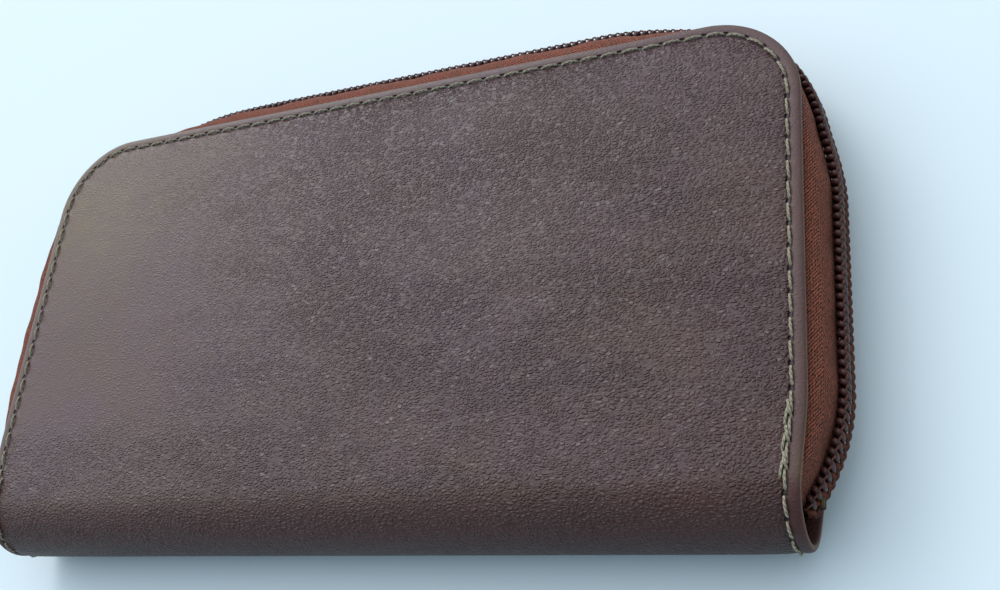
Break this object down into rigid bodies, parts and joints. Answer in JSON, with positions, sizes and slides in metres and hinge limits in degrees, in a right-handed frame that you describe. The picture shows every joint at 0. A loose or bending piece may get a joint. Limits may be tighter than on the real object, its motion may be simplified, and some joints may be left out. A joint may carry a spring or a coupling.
{
  "type": "leather zip-around case",
  "caption": "Slim leather case of two stiff covers joined at a rounded spine, closed by a zip round three sides, with card pockets, side gussets and a zipped coin page inside.",
  "frame": {"origin": "middle of the back cover's flat outer face, on the table, halfway along the spine and halfway from the spine's outside to the far leather edge", "axes": "+X along the spine, +Y from the spine to the opening side, +Z out of the front cover"},
  "size_m": [0.2074, 0.1154, 0.022],
  "materials": {
    "cover_leather": "semi-gloss pull-up leather, fine wrinkled grain, worn tan patches",
    "pocket_leather": "thin smooth split leather",
    "lining_fabric": "plain brown woven lining",
    "stiffener_board": "grey-brown leatherboard",
    "sewing_thread": "waxed beige thread",
    "zip_tape": "rust-brown herringbone twill tape",
    "zip_coil": "dark brown polyester coil, satin gloss",
    "antique_brass": "darkened brass, worn bright on its edges"
  },
  "bodies": {
    "back_cover": {"back_cover_leather": "cover_leather", "back_stiffener_board": "stiffener_board", "back_lining": "lining_fabric", "back_stitching": "sewing_thread", "back_zip_tape": "zip_tape", "back_zip_coil": "zip_coil", "back_zip_top_stop": "antique_brass", "back_card_pocket_left_1": "pocket_leather", "back_card_pocket_left_2": "pocket_leather", "back_card_pocket_left_3": "pocket_leather", "back_card_pocket_right_1": "pocket_leather", "back_card_pocket_right_2": "pocket_leather", "back_card_pocket_right_3": "pocket_leather", "back_gusset_left": "lining_fabric", "back_gusset_right": "lining_fabric", "zip_end_stop": "antique_brass"},
    "coin_page": {"coin_page_wall_back": "lining_fabric", "coin_page_wall_front": "lining_fabric", "coin_zip_tape_back": "zip_tape", "coin_zip_tape_front": "zip_tape", "coin_zip_coil_back": "zip_coil", "coin_zip_coil_front": "zip_coil", "coin_zip_stop_left": "antique_brass", "coin_zip_stop_right": "antique_brass"},
    "front_cover": {"front_cover_leather": "cover_leather", "front_stiffener_board": "stiffener_board", "front_lining": "lining_fabric", "front_stitching": "sewing_thread", "front_zip_tape": "zip_tape", "front_zip_coil": "zip_coil", "front_zip_top_stop": "antique_brass", "front_card_pocket_left_1": "pocket_leather", "front_card_pocket_left_2": "pocket_leather", "front_card_pocket_left_3": "pocket_leather", "front_card_pocket_right_1": "pocket_leather", "front_card_pocket_right_2": "pocket_leather", "front_card_pocket_right_3": "pocket_leather", "front_gusset_left": "lining_fabric", "front_gusset_right": "lining_fabric"},
    "zip_slider": {"zip_slider": "antique_brass"},
    "zip_pull": {"zip_pull_tab": "antique_brass"},
    "coin_slider": {"coin_slider": "antique_brass"},
    "coin_pull": {"coin_pull_tab": "antique_brass"}
  },
  "joints": [
    {"name": "coin_page_turn", "type": "hinge", "parent": "back_cover", "child": "coin_page", "pos_m": [0, -0.0535, 0.011], "axis": [1, 0, 0], "range_deg": [0, 25], "deforming": ["back_gusset_left", "back_gusset_right"]},
    {"name": "front_cover_open", "type": "hinge", "parent": "coin_page", "child": "front_cover", "pos_m": [0, -0.0535, 0.011], "axis": [1, 0, 0], "range_deg": [0, 25], "deforming": ["front_gusset_left", "front_gusset_right"]},
    {"name": "zip_slide", "type": "slide", "parent": "back_cover", "child": "zip_slider", "axis": [0, 1, 0], "range_m": [0, 0.029]},
    {"name": "zip_pull_swing", "type": "hinge", "parent": "zip_slider", "child": "zip_pull", "pos_m": [-0.1039, -0.02, 0.011], "axis": [0, 0, 1], "range_deg": [0, 180]},
    {"name": "coin_zip_slide", "type": "slide", "parent": "coin_page", "child": "coin_slider", "axis": [1, 0, 0], "range_m": [0, 0.132]},
    {"name": "coin_pull_swing", "type": "hinge", "parent": "coin_slider", "child": "coin_pull", "pos_m": [-0.066, 0.0457, 0.011], "axis": [0, 0, 1], "range_deg": [0, 180]}
  ],
  "couplings": [
    {"joint": "coin_page_turn", "follows": "front_cover_open", "ratio": 1}
  ]
}
